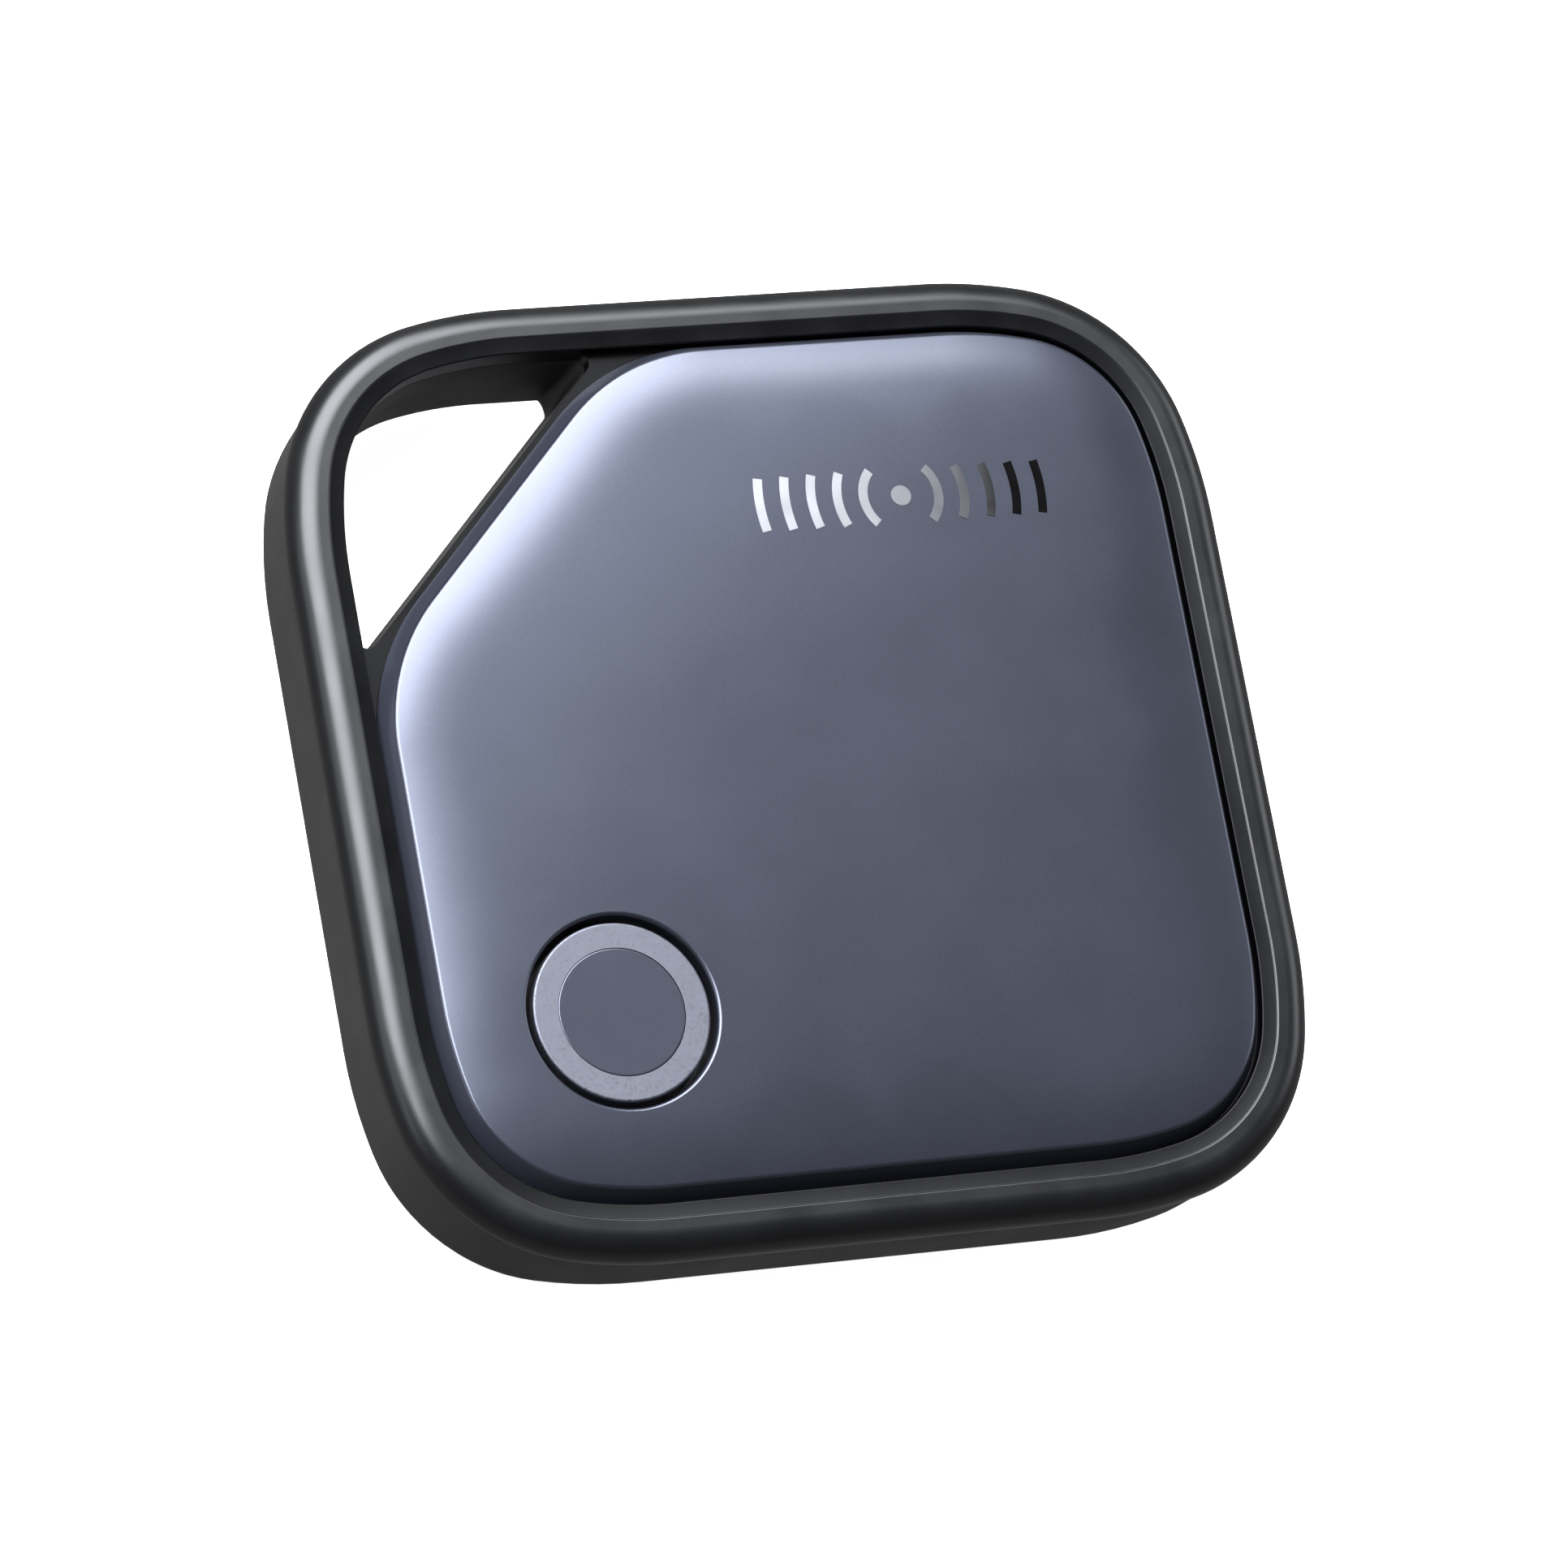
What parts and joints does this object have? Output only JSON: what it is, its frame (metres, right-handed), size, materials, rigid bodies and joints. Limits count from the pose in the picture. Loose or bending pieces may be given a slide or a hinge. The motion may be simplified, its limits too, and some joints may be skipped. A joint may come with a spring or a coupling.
{
  "type": "bluetooth tracker tag",
  "caption": "Flat square tracker tag with a key-ring hole through one corner, a domed front panel, a round push button and a coin cell under a removable rear cover.",
  "frame": {"origin": "centre of the square outline on the back face, where the tag rests", "axes": "+Z out of the front panel, +Y towards the edge beside the key-ring hole, +X to the right seen from the front"},
  "size_m": [0.039, 0.039, 0.0081],
  "materials": {
    "case_rear": "satin moulded",
    "case_front": "satin moulded",
    "panel_paint": "satin metallic lavender grey",
    "button_paint": "satin metallic lavender grey",
    "button_ring_metal": "fine satin anodised",
    "adhesive_film": "translucent film",
    "silicone_seal": "matt silicone",
    "silicone_button": "matt silicone",
    "foam_pad": "closed-cell foam",
    "cell_steel": "nickel plated",
    "cell_cap_steel": "nickel plated",
    "cell_nylon": "natural nylon",
    "well_plastic": "moulded",
    "contact_metal": "gold-plated spring bronze",
    "board": "green solder mask",
    "chip_black": "mould compound",
    "antenna_ceramic": "glazed ceramic",
    "crystal_can": "satin lid",
    "passive_body": "fired ceramic",
    "gold_pad": "immersion gold",
    "screw_steel": "zinc plated",
    "switch_housing": "moulded",
    "spring_steel": "stamped spring steel",
    "piezo_brass": "rolled brass",
    "piezo_white": "silvered ceramic"
  },
  "bodies": {
    "rear": {"rear_cover": "case_rear", "cover_seal": "silicone_seal", "cell_pressure_pad": "foam_pad"},
    "cell": {"cell_can": "cell_steel", "cell_cap": "cell_cap_steel", "cell_gasket": "cell_nylon"},
    "front": {"front_frame": "case_front", "front_panel": "panel_paint", "panel_adhesive": "adhesive_film", "button_membrane": "silicone_button", "tact_switch_body": "switch_housing", "switch_dome": "spring_steel", "cell_well": "well_plastic", "negative_contact": "contact_metal", "positive_contact": "contact_metal", "main_pcb": "board", "bluetooth_soc": "chip_black", "sounder_driver": "chip_black", "chip_antenna": "antenna_ceramic", "boost_inductor": "chip_black", "crystal_oscillators": "crystal_can", "passives": "passive_body", "test_pads": "gold_pad", "chassis_screws": "screw_steel", "piezo_adhesive": "adhesive_film", "piezo_plate": "piezo_brass", "piezo_ceramic": "piezo_white", "piezo_springs": "contact_metal"},
    "button": {"button_cap": "button_paint", "button_ring": "button_ring_metal", "button_carrier": "well_plastic", "switch_plunger": "switch_housing"}
  },
  "joints": [
    {"name": "cover_lift", "type": "slide", "parent": "rear", "child": "front", "axis": [0, 0, 1], "range_m": [0, 0.016]},
    {"name": "cell_lift", "type": "slide", "parent": "rear", "child": "cell", "axis": [0, 0, 1], "range_m": [0, 0.008]},
    {"name": "button_press", "type": "slide", "parent": "front", "child": "button", "axis": [0, 0, -1], "range_m": [0, 0.00025], "stiffness_N_per_m": 4000, "springref_m": -0.0001, "deforming": ["button_membrane", "switch_dome"]}
  ],
  "couplings": [
    {"joint": "cell_lift", "follows": "cover_lift", "ratio": 0.5}
  ]
}
